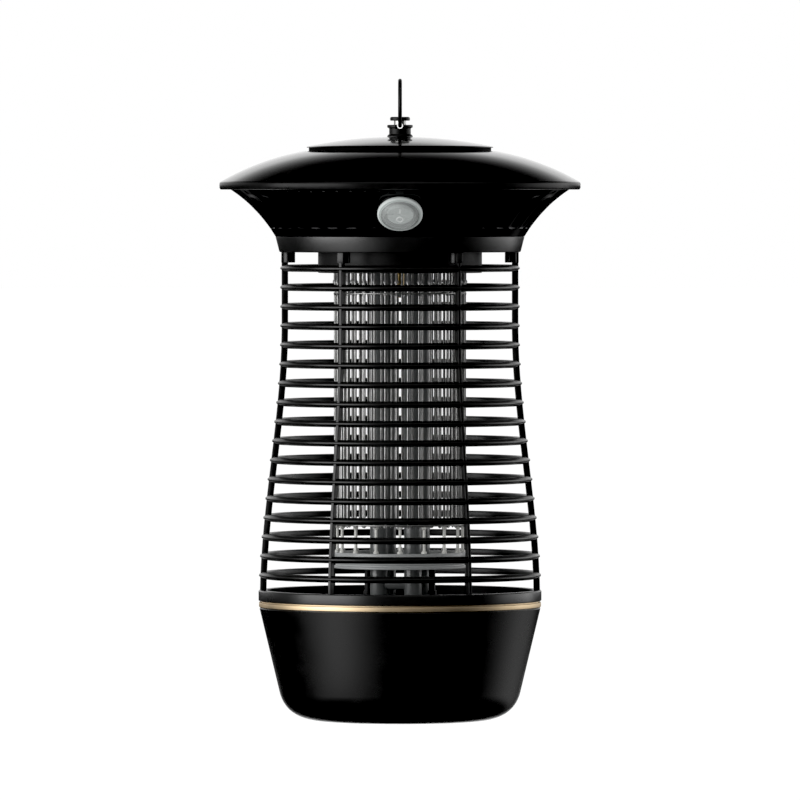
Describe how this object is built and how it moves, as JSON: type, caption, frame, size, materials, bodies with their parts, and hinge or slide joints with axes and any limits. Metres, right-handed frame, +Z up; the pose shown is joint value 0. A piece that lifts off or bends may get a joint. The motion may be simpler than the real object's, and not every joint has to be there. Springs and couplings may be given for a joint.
{
  "type": "bug zapper",
  "caption": "Electric insect zapper with a domed roof, flared skirt, louvred cage, live wire grids, ultraviolet lamp, catch tray, rocker switch and hanging ring.",
  "frame": {"origin": "centre of the tray's flat base, on the surface that it stands on", "axes": "+Z up along the body, -Y the front with the switch, +X to the right as seen from the front"},
  "size_m": [0.24, 0.24, 0.4267],
  "materials": {
    "roof_gloss": "high gloss black moulding",
    "collar_satin": "satin black moulding",
    "cage_black": "satin black moulding with softly shining lips",
    "inner_black": "matt black moulding",
    "trim_gold": "satin champagne gold",
    "hanger_grey": "grey black die casting",
    "steel": "drawn wire, lightly dulled",
    "zinc": "zinc plated",
    "brass": "turned brass",
    "silicone": "translucent light grey silicone",
    "rocker_grey": "light grey moulding with raised marks",
    "seal_rubber": "black rubber",
    "ceramic": "off-white insulating moulding",
    "drum_grey": "light silver grey moulding",
    "dark_glass": "dark ultraviolet filter glass",
    "board": "green solder mask",
    "ferrite": "sintered ferrite",
    "coil": "enamelled winding under tape",
    "film": "dipped film capacitor",
    "fuse_glass": "glass fuse in clips",
    "mains_insulation": "brown and blue insulation",
    "black_insulation": "black insulation",
    "white_insulation": "white insulation",
    "red_insulation": "red silicone insulation"
  },
  "bodies": {
    "housing": {"roof_shell": "roof_gloss", "top_cap": "roof_gloss", "hanger_boss": "hanger_grey", "hanger_washer": "zinc", "hanger_nut": "zinc", "skirt": "roof_gloss", "collar": "collar_satin", "deck": "inner_black", "roof_screws": "zinc", "cage_screws": "zinc", "switch_body": "inner_black", "switch_boot": "silicone", "switch_terminals": "brass", "gland_body": "inner_black", "gland_seal": "seal_rubber", "gland_cap": "inner_black", "gland_nut": "inner_black", "driver_board": "board", "board_screws": "zinc", "transformer_core": "ferrite", "transformer_coil": "coil", "capacitors": "film", "fuse": "fuse_glass", "lamp_holder": "ceramic", "holder_screws": "zinc", "lamp_base": "ceramic", "lamp_pins": "brass", "lamp_tubes": "dark_glass", "grid_carrier": "inner_black", "carrier_screws": "zinc", "grid_studs": "brass", "stud_nuts": "zinc", "outer_grid": "steel", "inner_grid": "steel", "grid_standoffs": "ceramic", "lower_insulator": "drum_grey", "cage": "cage_black", "trim_ring": "trim_gold", "mains_leads": "mains_insulation", "switch_leads": "black_insulation", "lamp_leads": "white_insulation", "grid_leads": "red_insulation"},
    "tray": {"tray": "collar_satin"},
    "rocker": {"switch_rocker": "rocker_grey"},
    "ring": {"hanging_ring": "steel"}
  },
  "joints": [
    {"name": "tray_drop", "type": "slide", "parent": "housing", "child": "tray", "axis": [0, 0, -1], "range_m": [0, 0.09]},
    {"name": "rocker_tilt", "type": "hinge", "parent": "housing", "child": "rocker", "pos_m": [0, -0.09623, 0.33802], "axis": [1, 0, 0], "range_deg": [-16, 0]},
    {"name": "ring_swing", "type": "hinge", "parent": "housing", "child": "ring", "pos_m": [0, 0, 0.39541], "axis": [0, 1, 0], "range_deg": [-40, 40]}
  ]
}
